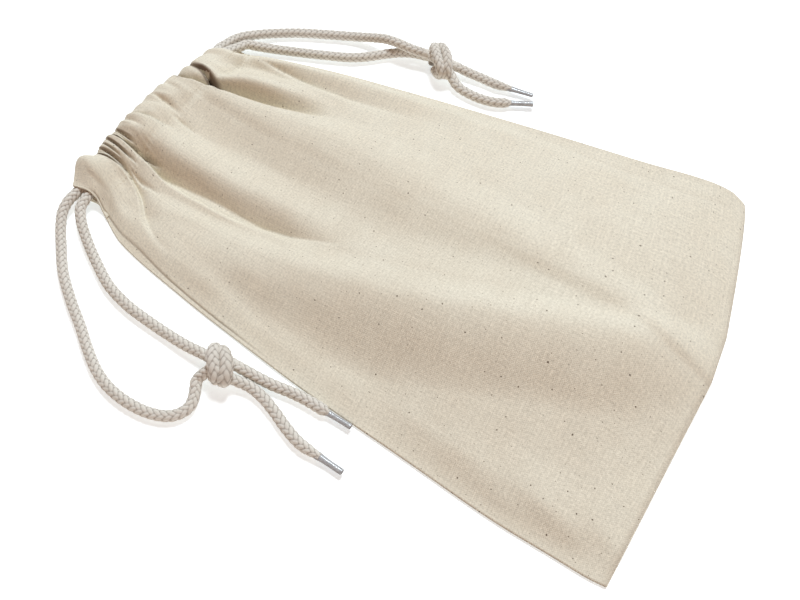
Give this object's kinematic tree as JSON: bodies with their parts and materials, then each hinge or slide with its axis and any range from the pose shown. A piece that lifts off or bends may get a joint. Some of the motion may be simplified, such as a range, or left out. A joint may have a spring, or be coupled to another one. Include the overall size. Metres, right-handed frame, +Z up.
{
  "type": "drawstring bag",
  "caption": "Plain cotton drawstring bag lying flat, mouth gathered on a cord at each side, each cord knotted and with two crimped tips.",
  "frame": {"origin": "centre of the cloth's bounding box, on the surface the bag lies on", "axes": "+Z up from the surface, +Y from the bottom fold to the gathered mouth, -X to the side with the wide cord loop"},
  "size_m": [0.2737, 0.3432, 0.031],
  "materials": {
    "cloth": "plain weave unbleached cotton with small dark seed flecks",
    "cord": "braided off-white cotton",
    "cord_tip": "grey shiny shrink film"
  },
  "bodies": {
    "root": {"bag": "cloth", "near_strand_outer": "cord", "near_strand_inner": "cord", "near_knot": "cord", "near_tail_a": "cord", "near_tail_b": "cord", "near_tip_a": "cord_tip", "near_tip_b": "cord_tip", "far_strand_upper": "cord", "far_strand_lower": "cord", "far_knot": "cord", "far_tail_a": "cord", "far_tail_b": "cord", "far_tip_a": "cord_tip", "far_tip_b": "cord_tip"}
  },
  "joints": []
}
